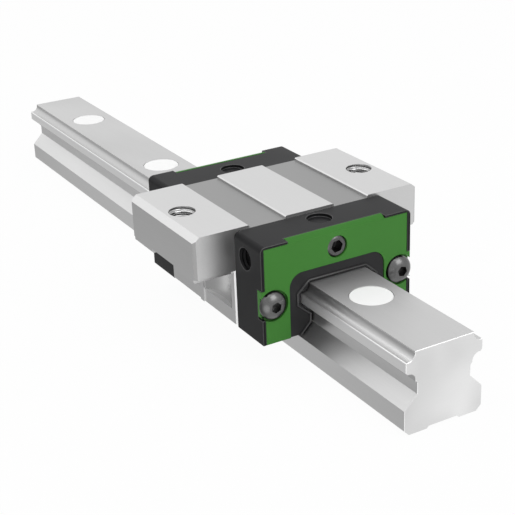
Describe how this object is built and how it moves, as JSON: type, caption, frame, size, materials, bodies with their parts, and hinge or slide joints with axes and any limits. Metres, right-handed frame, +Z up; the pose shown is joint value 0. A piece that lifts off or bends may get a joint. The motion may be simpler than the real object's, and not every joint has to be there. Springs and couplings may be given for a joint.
{
  "type": "linear guide",
  "caption": "Profiled steel guide rail with a short flanged recirculating-ball carriage, green end covers and plugged rail holes.",
  "frame": {"origin": "under the middle of the rail's length, on the rail's underside", "axes": "+Y along the rail, away from the end nearest in the picture; +Z up, from the rail's underside to the carriage's top; +X across the rail to the right"},
  "size_m": [0.07, 0.24, 0.036],
  "materials": {
    "rail_steel": "ground, satin",
    "saddle_steel": "ground lands, drawn flanks",
    "end_piece_plastic": "moulded, satin",
    "cover_plastic": "moulded, satin",
    "seal_rubber": "moulded, matt",
    "screw_steel": "blackened",
    "guide_plastic": "moulded, natural",
    "ball_steel": "polished",
    "plug_plastic": "moulded, smooth"
  },
  "bodies": {
    "rail": {"guide_rail": "rail_steel", "rail_plugs": "plug_plastic"},
    "carriage": {"saddle": "saddle_steel", "front_end_piece": "end_piece_plastic", "front_cover_plate": "cover_plastic", "front_wiper_seal": "seal_rubber", "front_cover_screws": "screw_steel", "front_port_plug": "screw_steel", "front_left_ball_guide": "guide_plastic", "front_right_ball_guide": "guide_plastic", "rear_end_piece": "end_piece_plastic", "rear_cover_plate": "cover_plastic", "rear_wiper_seal": "seal_rubber", "rear_cover_screws": "screw_steel", "rear_port_plug": "screw_steel", "rear_left_ball_guide": "guide_plastic", "rear_right_ball_guide": "guide_plastic", "upper_left_return_tube": "guide_plastic", "upper_left_balls": "ball_steel", "lower_left_return_tube": "guide_plastic", "lower_left_balls": "ball_steel", "left_ball_cage": "guide_plastic", "left_leg_seal": "seal_rubber", "upper_right_return_tube": "guide_plastic", "upper_right_balls": "ball_steel", "lower_right_return_tube": "guide_plastic", "lower_right_balls": "ball_steel", "right_ball_cage": "guide_plastic", "right_leg_seal": "seal_rubber", "top_ball_cage": "guide_plastic"}
  },
  "joints": [
    {"name": "carriage_slide", "type": "slide", "parent": "rail", "child": "carriage", "axis": [0, 1, 0], "range_m": [-0.0425, 0.128]}
  ]
}
